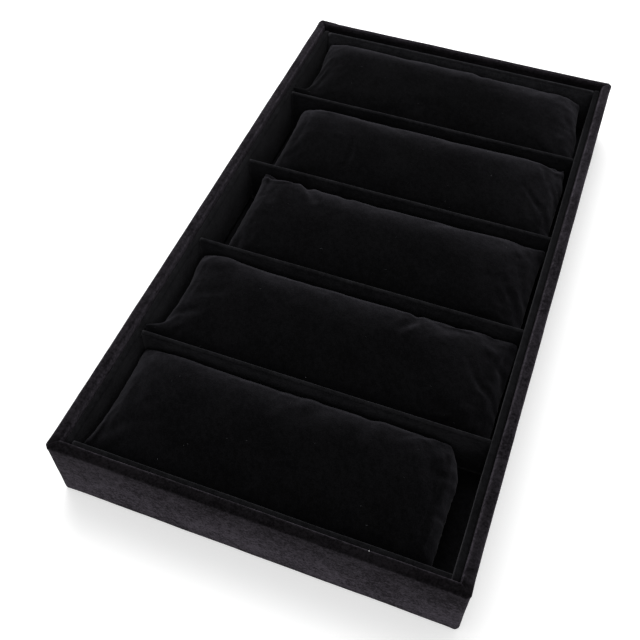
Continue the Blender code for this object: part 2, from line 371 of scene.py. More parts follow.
def new_material(name):
    material = bpy.data.materials.new(name)
    material.use_nodes = True
    nodes = NodeTree(material.node_tree)
    shader = material.node_tree.nodes["Principled BSDF"]
    return material, nodes, shader


def set_sockets(shader, values):
    for socket, value in values.items():
        shader.inputs[socket].default_value = value


def velvet(name, dark, light, painted_sheen, painted_sheen_power, sheen_speckle, sheen_tint, grain, turn):
    """Flocked velvet: near-black pile seen end on, with mottled patches, and a painted sheen in the
    base colour that lightens it where it is seen obliquely.
    """
    material, nodes, shader = new_material(name)
    place = nodes.add("ShaderNodeTexCoord").outputs["Object"]
    turned = nodes.add("ShaderNodeMapping", {"Vector": place, "Rotation": turn}).outputs["Vector"]
    stretched = nodes.add("ShaderNodeMapping", {"Vector": turned, "Scale": BRUSH_STRETCH})
    patches = noise_node(nodes, stretched.outputs["Vector"], PATCH_SCALE, 3.0, 0.55)
    brush_marks = noise_node(nodes, stretched.outputs["Vector"], BRUSH_SCALE, 3.0, 0.6)
    grains = noise_node(nodes, turned, grain, 2.0, 0.7)
    tufts = noise_node(nodes, turned, TUFT_SCALE * grain, 2.0, 0.6)
    mixed = nodes.add("ShaderNodeMath", {0: patches, 1: PATCH_SHARE}, operation="MULTIPLY")
    for layer, share in ((brush_marks, BRUSH_SHARE), (grains, GRAIN_SHARE)):
        mixed = nodes.add("ShaderNodeMath", {0: layer, 1: share, 2: mixed.outputs[0]},
                          operation="MULTIPLY_ADD")
    height = nodes.add("ShaderNodeMath", {0: tufts, 1: TUFT_SHARE, 2: grains},
                       operation="MULTIPLY_ADD")
    lay = nodes.add("ShaderNodeBump", {"Height": patches, "Strength": PATCH_STRENGTH,
                                       "Distance": PATCH_DEPTH})
    bump = nodes.add("ShaderNodeBump", {"Height": height.outputs[0], "Strength": PILE_STRENGTH,
                                        "Distance": PILE_DEPTH, "Normal": lay.outputs[0]})
    # The pile's lean only tilts the normal that the painted sheen is judged by.
    nap = nodes.add("ShaderNodeAttribute", attribute_name="nap")
    lean = nodes.add("ShaderNodeVectorMath", {0: nap.outputs["Vector"], "Scale": SHEEN_LEAN_STRENGTH},
                     operation="SCALE")
    lean = nodes.add("ShaderNodeVectorMath", {0: lean.outputs[0], 1: bump.outputs[0]},
                     operation="ADD")
    lean = nodes.add("ShaderNodeVectorMath", {0: lean.outputs[0]}, operation="NORMALIZE")
    # Painted sheen: where the leaned normal is seen obliquely, the base colour is mixed towards a
    # lighter colour, unevenly by the pile's mottling.
    painted_sheen_share = nodes.add("ShaderNodeLayerWeight", {"Blend": 0.5, "Normal": lean.outputs[0]})
    painted_sheen_share = nodes.add("ShaderNodeMath", {0: painted_sheen_share.outputs["Facing"], 1: painted_sheen_power},
                      operation="POWER")
    uneven = nodes.add("ShaderNodeMapRange", {"Value": mixed.outputs[0], "From Min": PILE_LOW,
                                              "From Max": PILE_HIGH, "To Min": 1.0 - sheen_speckle,
                                              "To Max": 1.0})
    painted_sheen_share = nodes.add("ShaderNodeMath", {0: painted_sheen_share.outputs[0], 1: uneven.outputs[0]},
                      operation="MULTIPLY")
    pile_colour = ramp(nodes, mixed.outputs[0], ((PILE_LOW, dark), (PILE_HIGH, light)))
    colour = nodes.add("ShaderNodeMix", {"Factor": painted_sheen_share.outputs[0], "A": pile_colour, "B": painted_sheen},
                       data_type="RGBA")
    nodes.tree.links.new(colour.outputs["Result"], shader.inputs["Base Color"])
    nodes.tree.links.new(bump.outputs[0], shader.inputs["Normal"])
    set_sockets(shader, {"Roughness": 0.9, "Specular IOR Level": 0.01,
                         "Sheen Weight": PILE_SHEEN, "Sheen Roughness": PILE_SHEEN_ROUGHNESS,
                         "Sheen Tint": sheen_tint})
    return material


def felt(name):
    """Thin black felt: matted short fibres and pressed hollows."""
    material, nodes, shader = new_material(name)
    place = nodes.add("ShaderNodeTexCoord").outputs["Object"]
    fibres = noise_node(nodes, place, 900.0, 4.0, 0.75)
    hollows = noise_node(nodes, place, 120.0, 2.0)
    colour = ramp(nodes, fibres, ((0.35, grey(0.008)), (0.7, grey(0.026))))
    height = nodes.add("ShaderNodeMath", {0: hollows, 1: 0.5, 2: fibres},
                       operation="MULTIPLY_ADD")
    bump = nodes.add("ShaderNodeBump", {"Height": height.outputs[0], "Strength": 0.6,
                                        "Distance": 0.3 * MM})
    nodes.tree.links.new(colour, shader.inputs["Base Color"])
    nodes.tree.links.new(bump.outputs[0], shader.inputs["Normal"])
    set_sockets(shader, {"Roughness": 0.95, "Specular IOR Level": 0.15})
    return material


def pressed_board(name, dark, light, chip_scale):
    """Raw fibreboard or grey card, with pressed chips and a slightly rough cut."""
    material, nodes, shader = new_material(name)
    place = nodes.add("ShaderNodeTexCoord").outputs["Object"]
    chips = nodes.add("ShaderNodeTexVoronoi", {"Vector": place, "Scale": chip_scale})
    mottle = noise_node(nodes, place, chip_scale * 0.4, 4.0, 0.6)
    mixed = nodes.add("ShaderNodeMath", {0: chips.outputs["Distance"], 1: 0.5, 2: mottle},
                      operation="MULTIPLY_ADD")
    colour = ramp(nodes, mixed.outputs[0], ((0.35, dark), (0.85, light)))
    bump = nodes.add("ShaderNodeBump", {"Height": mixed.outputs[0], "Strength": 0.3,
                                        "Distance": 0.2 * MM})
    nodes.tree.links.new(colour, shader.inputs["Base Color"])
    nodes.tree.links.new(bump.outputs[0], shader.inputs["Normal"])
    set_sockets(shader, {"Roughness": 0.85})
    return material


def plain_fibre(name, colour, roughness):
    """Thread or lint, twisted finely along its length."""
    material, nodes, shader = new_material(name)
    place = nodes.add("ShaderNodeTexCoord").outputs["Object"]
    twist = nodes.add("ShaderNodeTexWave", {"Vector": place, "Scale": 900.0, "Distortion": 2.0})
    bump = nodes.add("ShaderNodeBump", {"Height": twist.outputs["Fac"], "Strength": 0.4,
                                        "Distance": 0.05 * MM})
    nodes.tree.links.new(bump.outputs[0], shader.inputs["Normal"])
    set_sockets(shader, {"Base Color": colour, "Roughness": roughness})
    return material


def arc(centre, radius, start, end, steps):
    points = []
    for step in range(steps + 1):
        angle = math.radians(start + (end - start) * step / steps)
        points.append((centre[0] + radius * math.cos(angle),
                       centre[1] + radius * math.sin(angle)))
    return points


def filled_in(points, step):
    """Add points on the long straight runs between the given ones."""
    filled = [points[0]]
    for start, end in zip(points, points[1:]):
        count = max(1, round(math.dist(start, end) / step))
        for index in range(1, count + 1):
            share = index / count
            filled.append((start[0] + (end[0] - start[0]) * share,
                           start[1] + (end[1] - start[1]) * share))
    return filled


def plan_ring(half_x, half_y, radius):
    """A rounded rectangle with the same number of points whatever its inset."""
    corners = ((1, 1), (-1, 1), (-1, -1), (1, -1))
    long_runs = (round(2 * TRAY_HIGH.x / COVER_STEP), round(2 * TRAY_HIGH.y / COVER_STEP))
    ring = []
    for quarter, (side_x, side_y) in enumerate(corners):
        centre = (side_x * (half_x - radius), side_y * (half_y - radius))
        bend = arc(centre, radius, 90 * quarter, 90 * quarter + 90, BEND_STEPS)
        ring += bend
        next_x, next_y = corners[(quarter + 1) % 4]
        after = arc((next_x * (half_x - radius), next_y * (half_y - radius)), radius,
                    90 * quarter + 90, 90 * quarter + 90, 1)[0]
        count = long_runs[quarter % 2]
        for index in range(1, count):
            share = index / count
            ring.append((bend[-1][0] + (after[0] - bend[-1][0]) * share,
                         bend[-1][1] + (after[1] - bend[-1][1]) * share))
    return ring


def cover_section():
    """Inset and height of the outer cloth's face, from under the tray to inside the rim."""
    foot = COVER_LOW.z + FOOT_RADIUS
    rim = COVER_HIGH.z - WRAP_RADIUS
    turned = [(TURN_UNDER, COVER_LOW.z), (FOOT_RADIUS, COVER_LOW.z)]
    outside = arc((FOOT_RADIUS, foot), FOOT_RADIUS, 270, 180, FOOT_STEPS)
    over = arc((WRAP_RADIUS, rim), WRAP_RADIUS, 180, 90, BEND_STEPS)
    inner = arc((RIM_WIDTH - WRAP_RADIUS, rim), WRAP_RADIUS, 90, 0, BEND_STEPS)
    inside = [(RIM_WIDTH, rim), (RIM_WIDTH, FLOOR_LOW.z)]
    section = filled_in(turned, COVER_STEP)[:-1] + outside
    section += filled_in([outside[-1], over[0]], COVER_STEP)[1:-1]
    section += over + inner + filled_in(inside, COVER_STEP)[1:]
    return section


def ripple(place, scale, amount, seed=0.0):
    return noise.noise(Vector(place) * scale + Vector((seed, 2 * seed, -seed))) * amount


def corner_distance(place):
    """Distance along the wall from the nearest upright corner, and off its diagonal."""
    away_x = TRAY_HIGH.x - abs(place.x)
    away_y = TRAY_HIGH.y - abs(place.y)
    return max(away_x, away_y), abs(away_x - away_y)


def cover_shift(place, normal):
    """How far the cloth lies off its board: soft ripples, corner folds and one joining seam."""
    shift = ripple(place, COVER_RIPPLE_SCALE, COVER_RIPPLE)
    shift += ripple(place, FINE_RIPPLE_SCALE, FINE_RIPPLE, FINE_RIPPLE_SEED)
    away, off_diagonal = corner_distance(place)
    on_rim = place.z > COVER_HIGH.z - RIM_DEPTH
    underneath = place.z < COVER_LOW.z + FOOT_DEPTH
    if (on_rim and away < CORNER_REACH) or (underneath and away < TURN_UNDER):
        shift += CORNER_SWELL * math.exp(-(away / RIM_WIDTH) ** 2)
        shift -= CORNER_FOLD_DEPTH * math.exp(-(off_diagonal / CORNER_FOLD_WIDTH) ** 2)
    if place.y > TRAY_HIGH.y - FOOT_RADIUS and normal.y > 0.5 and place.x < SEAM_PLACE:
        shift += SEAM_STEP
    return shift


def cover_sheen_lean(place, across):
    """Which way the cover's pile leans, to steer the painted sheen: down the walls, more so low
    down, which paints the walls lighter towards their foot; back on the rim, painted lighter there;
    and back at the rim's inner edge, a painted highlight line.
    """
    low = (COVER_HIGH.z - place.z) / (COVER_HIGH.z - COVER_LOW.z)
    lean = across * (WALL_LEAN_FOOT * low)
    inset = min(TRAY_HIGH.x - abs(place.x), TRAY_HIGH.y - abs(place.y))
    back = EDGE_LEAN * math.exp(-((inset - RIM_WIDTH) / EDGE_LEAN_WIDTH) ** 2)
    if place.y > RIM_WIDTH - TRAY_HIGH.y:
        back += max(SIDE_LEAN_BACK + SIDE_LEAN_CHANGE * place.y, REAR_LEAN_BACK)
    return lean + Vector((0.0, back * (1.0 - low), 0.0))


def outer_cover(material):
    """One strip of velvet round the outside, over the rim, down inside and turned under."""
    bm = bmesh.new()
    rings = []
    for inset, height in cover_section():
        share = min(inset / RIM_WIDTH, 1.0)
        radius = WRAP_RADIUS + (INNER_CORNER - WRAP_RADIUS) * share
        ring = plan_ring(TRAY_HIGH.x - inset, TRAY_HIGH.y - inset, radius)
        rings.append([bm.verts.new((x, y, height)) for x, y in ring])
    for lower, upper in zip(rings, rings[1:]):
        for index in range(len(lower)):
            following = (index + 1) % len(lower)
            bm.faces.new((lower[index], lower[following], upper[following], upper[index]))
    bm.normal_update()
    lies = []
    for index, ring in enumerate(rings):
        outer, inner = rings[max(index - 1, 0)], rings[min(index + 1, len(rings) - 1)]
        lies += [cover_sheen_lean(vert.co, (near.co - far.co).normalized())
                 for vert, near, far in zip(ring, outer, inner)]
    for vert in bm.verts:
        vert.co += vert.normal * cover_shift(vert.co, vert.normal)
    piece = object_from_bmesh("velvet_cover", bm)
    lean_painted_sheen(piece.data, lies)
    add_modifier(piece, "SOLIDIFY", thickness=CLOTH, offset=-1.0)
    piece = made_plain(piece)
    finished(piece, material, "outer_velvet", "outer_velvet_cover")
    return piece


def strip_tree():
    """Geometry nodes: sweep a folded section along a straight run and let it waver a little."""
    tree = bpy.data.node_groups.new("folded_strip", "GeometryNodeTree")
    face = tree.interface
    face.new_socket("Section", in_out="INPUT", socket_type="NodeSocketGeometry")
    sizes = (("Length", 2 * CELL_END), ("Step", STRIP_STEP), ("Waver", DIVIDER_WAVER),
             ("Waver Scale", WAVER_SCALE), ("Seed", 0.0))
    for name, value in sizes:
        socket = face.new_socket(name, in_out="INPUT", socket_type="NodeSocketFloat")
        socket.default_value = value
    face.new_socket("Cloth", in_out="INPUT", socket_type="NodeSocketMaterial")
    face.new_socket("Strip", in_out="OUTPUT", socket_type="NodeSocketGeometry")
    nodes = NodeTree(tree)
    given = nodes.add("NodeGroupInput").outputs
    half = nodes.add("ShaderNodeMath", {0: given["Length"], 1: 0.5}, operation="MULTIPLY")
    less = nodes.add("ShaderNodeMath", {0: half.outputs[0], 1: -1.0}, operation="MULTIPLY")
    start = nodes.add("ShaderNodeCombineXYZ", {"X": less.outputs[0]})
    end = nodes.add("ShaderNodeCombineXYZ", {"X": half.outputs[0]})
    line = nodes.add("GeometryNodeCurvePrimitiveLine", {"Start": start.outputs[0],
                                                        "End": end.outputs[0]})
    run = nodes.add("GeometryNodeResampleCurve", {"Curve": line.outputs[0],
                                                  "Length": given["Step"]}, mode="LENGTH")
    section = nodes.add("GeometryNodeMeshToCurve", {"Mesh": given["Section"]})
    swept = nodes.add("GeometryNodeCurveToMesh", {"Curve": run.outputs[0],
                                                  "Profile Curve": section.outputs[0]})
    place = nodes.add("GeometryNodeInputPosition").outputs[0]
    wander = nodes.add("ShaderNodeTexNoise", {"Vector": place, "W": given["Seed"],
                                              "Scale": given["Waver Scale"], "Detail": 1.0},
                       noise_dimensions="4D")
    centred = nodes.add("ShaderNodeVectorMath", {0: wander.outputs["Color"],
                                                 1: (0.5, 0.5, 0.5)}, operation="SUBTRACT")
    scaled = nodes.add("ShaderNodeVectorMath", {0: centred.outputs[0],
                                                "Scale": given["Waver"]}, operation="SCALE")
    level = nodes.add("ShaderNodeVectorMath", {0: scaled.outputs[0], 1: (0.0, 2.0, 1.0)},
                      operation="MULTIPLY")
    moved = nodes.add("GeometryNodeSetPosition", {"Geometry": swept.outputs[0],
                                                  "Offset": level.outputs[0]})
    real = nodes.add("GeometryNodeRealizeInstances", {"Geometry": moved.outputs[0]})
    dressed = nodes.add("GeometryNodeSetMaterial", {"Geometry": real.outputs[0],
                                                    "Material": given["Cloth"]})
    nodes.add("NodeGroupOutput", {"Strip": dressed.outputs[0]})
    return tree


def set_inputs(modifier, values):
    for item in modifier.node_group.interface.items_tree:
        if item.item_type == "SOCKET" and item.in_out == "INPUT" and item.name in values:
            modifier[item.identifier] = values[item.name]


def fold_section(width, height, fold):
    """The open outline of cloth folded over a card: up one face, over and down the other."""
    half = width / 2
    near = filled_in([(-half, 0.0), (-half, height - fold)], COVER_STEP)
    over = arc((fold - half, height - fold), fold, 180, 90, FOLD_STEPS)
    back = arc((half - fold, height - fold), fold, 90, 0, FOLD_STEPS)
    far = filled_in([(half, height - fold), (half, 0.0)], COVER_STEP)
    points = near[:-1] + over + back + far[1:]
    mesh = bpy.data.meshes.new("fold_section")
    mesh.from_pydata([(across, -up, 0.0) for across, up in points],
                     [(index, index + 1) for index in range(len(points) - 1)], [])
    return mesh


def folded_strip(node, fold, tree, material, seed, waver, lean=0.0):
    """Velvet folded over the top of a lining card or a divider, in its node's place."""
    low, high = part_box(node)
    size = high - low
    lengthwise = size.y > size.x
    width = size.x if lengthwise else size.y
    length = size.y if lengthwise else size.x
    piece = new_mesh_object(node.replace("velvet", "cloth"), fold_section(width, size.z, fold))
    turn = math.radians(90) if lengthwise else 0.0
    middle = (low + high) / 2
    piece.matrix_world = (Matrix.Translation((middle.x, middle.y, low.z))
                          @ Matrix.Rotation(turn, 4, "Z"))
    sweep = piece.modifiers.new("Sweep", "NODES")
    sweep.node_group = tree
    set_inputs(sweep, {"Length": length, "Seed": seed, "Waver": waver, "Cloth": material})
    add_modifier(piece, "SOLIDIFY", thickness=CLOTH, offset=-1.0)
    piece = made_plain(piece)
    places = all_places(piece.data)
    # The pile's lean steers the painted sheen: down on the rear lining, which paints its face
    # lighter, and forwards on the lengthwise strips, more so towards the rear.
    directions = numpy.zeros_like(places)
    directions[:, 2] = -lean
    if lengthwise:
        directions[:, 1] = -LINING_LEAN_REARWARD * places[:, 1].clip(0.0)
    lean_painted_sheen(piece.data, directions)
    finished(piece, material, "lining_velvet", node)


def floor_cloth(material):
    """The velvet on the floor panel, pressed a little where the pillows lie."""
    bm = bmesh.new()
    columns = round(2 * FLOOR_HIGH.x / FLOOR_STEP)
    rows = round(2 * FLOOR_HIGH.y / FLOOR_STEP)
    bmesh.ops.create_grid(bm, x_segments=columns, y_segments=rows, size=1.0)
    for vert in bm.verts:
        vert.co.x *= FLOOR_HIGH.x
        vert.co.y *= FLOOR_HIGH.y
        sway = ripple(vert.co, FLOOR_RIPPLE_SCALE, FLOOR_RIPPLE)
        vert.co.z = FLOOR_HIGH.z + sway - FLOOR_PRESSED
    rim = [edge for edge in bm.edges if edge.is_boundary]
    turned = bmesh.ops.extrude_edge_only(bm, edges=rim)
    for vert in turned["geom"]:
        if isinstance(vert, bmesh.types.BMVert):
            vert.co.z = FLOOR_LOW.z
    bmesh.ops.recalc_face_normals(bm, faces=bm.faces)
    piece = object_from_bmesh("floor_cloth", bm)
    add_modifier(piece, "SOLIDIFY", thickness=CLOTH, offset=-1.0)
    piece = made_plain(piece)
    finished(piece, material, "lining_velvet", "floor_velvet")


def merged_copy(node, name):
    bm = bmesh.new()
    bm.from_mesh(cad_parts[node].data)
    bmesh.ops.remove_doubles(bm, verts=bm.verts, dist=0.00001)
    return object_from_bmesh(name, bm)


def all_places(mesh):
    places = numpy.empty(len(mesh.vertices) * 3, dtype=numpy.float32)
    mesh.vertices.foreach_get("co", places)
    return places.reshape(-1, 3)


def all_normals(mesh):
    return numpy.array([tuple(normal.vector) for normal in mesh.vertex_normals])


def along_line(plan, points):
    """Distance of plan points from a line, and how far along it the nearest place is, 0 to 1."""
    total = sum(math.dist(start, end) for start, end in zip(points, points[1:]))
    nearest = numpy.full(len(plan), 1e9)
    reached = numpy.zeros(len(plan))
    walked = 0.0
    for start, end in zip(points, points[1:]):
        start, run = numpy.array(start), numpy.subtract(end, start)
        length = math.hypot(*run)
        share = numpy.clip((plan - start) @ run / length ** 2, 0.0, 1.0)
        away = numpy.linalg.norm(plan - start - share[:, None] * run, axis=1)
        closer = away < nearest
        nearest[closer] = away[closer]
        reached[closer] = (walked + share[closer] * length) / total
        walked += length
    return nearest, reached


def crease_shift(plan, creases):
    """Depth of the creases, with raised lips, tapering to nothing at each crease's ends."""
    shift = numpy.zeros(len(plan))
    for points, depth, half_width in creases:
        nearest, reached = along_line(plan, points)
        taper = numpy.sin(math.pi * (CREASE_END + (1.0 - 2 * CREASE_END) * reached)) ** 0.5
        across = nearest / half_width
        lips = CREASE_LIP * numpy.exp(-(across - CREASE_LIP_AWAY) ** 2)
        shift -= depth * taper * (numpy.exp(-across ** 2) - lips)
    return shift


def swell_shift(plan, swells):
    shift = numpy.zeros(len(plan))
    for points, height, half_width in swells:
        shift += height * numpy.exp(-(along_line(plan, points)[0] / half_width) ** 2)
    return shift


def pull_shift(plan, pulls):
    """Which way and how far the cloth is drawn at each plan point."""
    shift = numpy.zeros((len(plan), 3))
    for points, way, half_width in pulls:
        share = numpy.exp(-(along_line(plan, points)[0] / half_width) ** 2)
        shift += share[:, None] * way
    return shift


def neighbour_mean(values, starts, ends, counts):
    total = numpy.zeros_like(values)
    numpy.add.at(total, starts, values[ends])
    numpy.add.at(total, ends, values[starts])
    return total / counts[:, None]


def puffed(piece):
    """Fill the bag: loose cloth and pressure from inside, no gravity, the sewn ends held."""
    start = all_places(piece.data)
    held = piece.vertex_groups.new(name="sewn_ends")
    for vert in piece.data.vertices:
        if abs(vert.normal.x) > HELD_END_NORMAL:
            held.add([vert.index], 1.0, "REPLACE")
    cloth = piece.modifiers.new("Cloth", "CLOTH").settings
    cloth.quality = 4
    cloth.mass = 0.15
    cloth.tension_stiffness = 12
    cloth.compression_stiffness = 12
    cloth.shear_stiffness = 4
    cloth.bending_stiffness = 0.3
    cloth.vertex_group_mass = held.name
    cloth.shrink_min = LOOSE_CLOTH
    cloth.use_pressure = True
    cloth.uniform_pressure_force = PILLOW_PRESSURE
    cloth.effector_weights.gravity = 0.0
    scene = bpy.context.scene
    for number in range(1, PILLOW_FRAMES + 1):
        scene.frame_set(number)
    piece = made_plain(piece)
    scene.frame_set(1)
    moved = all_places(piece.data) - start
    pairs = numpy.empty(len(piece.data.edges) * 2, dtype=int)
    piece.data.edges.foreach_get("vertices", pairs)
    pairs = pairs.reshape(-1, 2)
    counts = numpy.bincount(pairs.ravel(), minlength=len(start)).astype(float)
    drift = moved.copy()
    for _ in range(SMOOTHING_ROUNDS):
        drift = 0.5 * drift + 0.5 * neighbour_mean(drift, pairs[:, 0], pairs[:, 1], counts)
    moved = WRINKLE_SHARE * (moved - drift) + SMOOTH_SHARE * drift
    length = numpy.maximum(numpy.linalg.norm(moved, axis=1, keepdims=True), 1e-9)
    moved *= numpy.minimum(1.0, PILLOW_CAP / length)
    piece.data.vertices.foreach_set("co", (start + moved).ravel())
    return piece


def sewn(piece, number, low, high):
    """Gathers and a seam at both ends, and the creases of this pillow's cloth."""
    places, normals = all_places(piece.data), all_normals(piece.data)
    unevenness = [sum(ripple(place, scale, height, number) for scale, height in UNEVEN_FILLING)
                  for place in places]
    waver = numpy.array([noise.noise(Vector(place) * END_GATHER_WAVER_SCALE) for place in places])
    from_end = numpy.minimum(places[:, 0] - low.x, high.x - places[:, 0]).clip(0.0)
    wave = places[:, 1] / END_GATHER_WAVE * math.tau + END_GATHER_WAVER * waver
    shift = END_GATHER * numpy.sin(wave) * numpy.exp(-from_end / END_GATHER_REACH)
    shift += numpy.array(unevenness)
    plan = places[:, :2] / MM
    upward = numpy.clip(CREASE_FADE * normals[:, 2], 0.0, 1.0)
    shift += crease_shift(plan, CREASES[number]) * MM * upward
    upward = numpy.clip(SWELL_FADE + normals[:, 2], 0.0, 1.0)
    shift += swell_shift(plan, SWELLS[number]) * MM * upward
    seam_height = low.z + SEAM_LEVEL * (high.z - low.z)
    off_seam = (places[:, 2] - seam_height) / SEAM_HALF_WIDTH
    at_end = numpy.abs(normals[:, 0]) > HELD_END_NORMAL
    shift -= SEAM_GROOVE * numpy.exp(-off_seam ** 2) * at_end
    places += normals * shift[:, None] + pull_shift(plan, PULLS.get(number, ())) * MM
    piece.data.vertices.foreach_set("co", places.ravel())


def kept_in_cell(piece, cell_low, cell_high):
    """Press the bag flat where it meets the floor, the dividers or a lining."""
    places = all_places(piece.data).clip(cell_low, cell_high)
    piece.data.vertices.foreach_set("co", places.ravel())


def pillow_sheen_lean(mesh, middle):
    """The pile leans forwards, which keeps the painted sheen dark: more on the pillows further
    back, less towards a crest and towards the right end, where the painted sheen lightens the
    cloth.
    """
    forward_lean = PILLOW_LEAN + PILLOW_LEAN_REARWARD * middle
    places = all_places(mesh)
    share = 1.0 - (places[:, 1] - middle - PILLOW_LEAN_FROM) / PILLOW_LEAN_LOST
    right = numpy.clip((places[:, 0] - RIGHT_END_FROM) / RIGHT_END_LENGTH, 0.0, 1.0)
    directions = numpy.zeros_like(places)
    directions[:, 1] = -forward_lean * numpy.clip(share, 0.0, 1.0) * (1.0 - RIGHT_END_LOST * right)
    return directions


def pillow(number, material):
    node = f"pillow_{number}"
    low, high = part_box(node)
    piece = merged_copy(node, f"velvet_pillow_{number}")
    add_modifier(piece, "REMESH", mode="VOXEL", voxel_size=PILLOW_VOXEL)
    piece = made_plain(piece)
    piece = puffed(piece)
    add_modifier(piece, "SUBSURF", levels=1, render_levels=1)
    piece = made_plain(piece)
    sewn(piece, number, low, high)
    kept_in_cell(piece, Vector((-CELL_END, low.y + SIDE_CLEARANCE, low.z)),
                 Vector((CELL_END, high.y - SIDE_CLEARANCE, high.z + TOP_ROOM)))
    lean_painted_sheen(piece.data, pillow_sheen_lean(piece.data, (low.y + high.y) / 2))
    finished(piece, material, "pillow_velvet", node)
    return piece


def thread_piece(name, length, radius, bow, sides, steps):
    """A short bowed thread along x, closed to a point at both ends."""
    bm = bmesh.new()
    rings = []
    for step in range(1, steps):
        share = step / steps
        girth = radius * math.sin(math.pi * share) ** 0.5
        middle = Vector(((share - 0.5) * length, 0.0, bow * math.sin(math.pi * share)))
        rings.append([bm.verts.new(middle + girth * Vector((0.0, math.cos(turn), math.sin(turn))))
                      for turn in (math.tau * side / sides for side in range(sides))])
    tips = [bm.verts.new((-length / 2, 0.0, 0.0)), bm.verts.new((length / 2, 0.0, 0.0))]
    for lower, upper in zip(rings, rings[1:]):
        for side in range(sides):
            after = (side + 1) % sides
            bm.faces.new((lower[side], lower[after], upper[after], upper[side]))
    for side in range(sides):
        after = (side + 1) % sides
        bm.faces.new((tips[0], rings[0][after], rings[0][side]))
        bm.faces.new((tips[1], rings[-1][side], rings[-1][after]))
    bmesh.ops.recalc_face_normals(bm, faces=bm.faces)
    return object_from_bmesh(name, bm)


def placing_tree():
    """Geometry nodes: set a thread on every point, turned and sized by the point's own values."""
    tree = bpy.data.node_groups.new("placed_threads", "GeometryNodeTree")
    face = tree.interface
    face.new_socket("Points", in_out="INPUT", socket_type="NodeSocketGeometry")
    face.new_socket("Thread", in_out="INPUT", socket_type="NodeSocketObject")
    face.new_socket("Finish", in_out="INPUT", socket_type="NodeSocketMaterial")
    face.new_socket("Threads", in_out="OUTPUT", socket_type="NodeSocketGeometry")
    nodes = NodeTree(tree)
    given = nodes.add("NodeGroupInput").outputs
    thread = nodes.add("GeometryNodeObjectInfo", {"Object": given["Thread"]})
    turn = nodes.add("GeometryNodeInputNamedAttribute", {"Name": "turn"},
                     data_type="FLOAT_VECTOR")
    size = nodes.add("GeometryNodeInputNamedAttribute", {"Name": "size"}, data_type="FLOAT")
    turned = nodes.add("FunctionNodeEulerToRotation", {"Euler": turn.outputs["Attribute"]})
    placed = nodes.add("GeometryNodeInstanceOnPoints",
                       {"Points": given["Points"], "Instance": thread.outputs["Geometry"],
                        "Rotation": turned.outputs[0], "Scale": size.outputs["Attribute"]})
    real = nodes.add("GeometryNodeRealizeInstances", {"Geometry": placed.outputs[0]})
    dressed = nodes.add("GeometryNodeSetMaterial", {"Geometry": real.outputs[0],
                                                    "Material": given["Finish"]})
    nodes.add("NodeGroupOutput", {"Threads": dressed.outputs[0]})
    return tree


def placed_threads(name, places, thread, tree, material, slot):
    """One piece from a list of (place, turn, size), with a thread at each."""
    mesh = bpy.data.meshes.new(name)
    mesh.from_pydata([place for place, _, _ in places], [], [])
    turns = mesh.attributes.new("turn", "FLOAT_VECTOR", "POINT")
    turns.data.foreach_set("vector", [value for _, turn, _ in places for value in turn])
    sizes = mesh.attributes.new("size", "FLOAT", "POINT")
    sizes.data.foreach_set("value", [size for _, _, size in places])
    piece = new_mesh_object(name, mesh)
    setting = piece.modifiers.new("Place", "NODES")
    setting.node_group = tree
    set_inputs(setting, {"Thread": thread, "Finish": material})
    piece = made_plain(piece)
    bpy.data.objects.remove(thread)
    finished(piece, material, slot)


def surface_tree(pieces):
    """One search tree over several finished pieces."""
    places, corners = [], []
    for piece in pieces:
        first = len(places)
        places += [vert.co.copy() for vert in piece.data.vertices]
        corners += [[first + index for index in face.vertices] for face in piece.data.polygons]
    return BVHTree.FromPolygons(places, corners)


def seam_stitches(pillows, tree, material):
    """A row of stitches along the sewn end seams of every pillow."""
    places = []
    for number, piece in pillows.items():
        low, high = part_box(f"pillow_{number}")
        seam_height = low.z + SEAM_LEVEL * (high.z - low.z)
        surface = surface_tree([piece])
        count = int((high.y - low.y - 2 * STITCH_END_ROOM) / STITCH_SPACING)
        for side in (-1, 1):
            row = []
            for index in range(count + 1):
                across = low.y + STITCH_END_ROOM + index * STITCH_SPACING
                start = Vector((side * BESIDE_TRAY, across, seam_height))
                hit = surface.ray_cast(start, Vector((-side, 0, 0)))[0]
                if hit:
                    row.append(hit)
            for before, here, after in zip(row, row[1:], row[2:]):
                run = after - before
                places.append((here, (0.0, 0.0, math.atan2(run.y, run.x)), 1.0))
    stitch = thread_piece("stitch", STITCH_LENGTH, STITCH_RADIUS, bow=0.0, sides=6, steps=6)
    placed_threads("end_stitches", places, stitch, tree, material, "pillow_velvet")


def any_turn(draw, tilt):
    return draw.uniform(-tilt, tilt), draw.uniform(-tilt, tilt), draw.uniform(0, math.tau)


def lint(pieces, tree, dusty, pale):
    """Stray fibres that the velvet has picked up, and three bright flecks."""
    surface = surface_tree(pieces)
    draw = random.Random(LINT_SEED)
    down = Vector((0, 0, -1))
    fibres, flecks = [], []
    while len(fibres) < LINT_FIBRES:
        start = Vector((draw.uniform(TRAY_LOW.x, TRAY_HIGH.x),
                        draw.uniform(TRAY_LOW.y, TRAY_HIGH.y), ABOVE_TRAY))
        hit = surface.ray_cast(start, down)[0]
        if hit and hit.z > LINT_ABOVE:
            fibres.append((hit, any_turn(draw, LINT_TILT), draw.uniform(*LINT_SIZES)))
    for x, y in FLECKS:
        hit = surface.ray_cast(Vector((x * MM, y * MM, ABOVE_TRAY)), down)[0]
        for _ in range(FLECK_FIBRES):
            place = hit + Vector((0, 0, FLECK_LIFT))
            flecks.append((place, any_turn(draw, FLECK_TILT), FLECK_SIZE))
    fibre = thread_piece("fibre", LINT_LENGTH, LINT_RADIUS, LINT_BOW, sides=3, steps=5)
    placed_threads("lint_fibres", fibres, fibre, tree, dusty, None)
    knot = thread_piece("knot", LINT_LENGTH, KNOT_RADIUS, LINT_BOW, sides=5, steps=6)
    placed_threads("lint_flecks", flecks, knot, tree, pale, None)


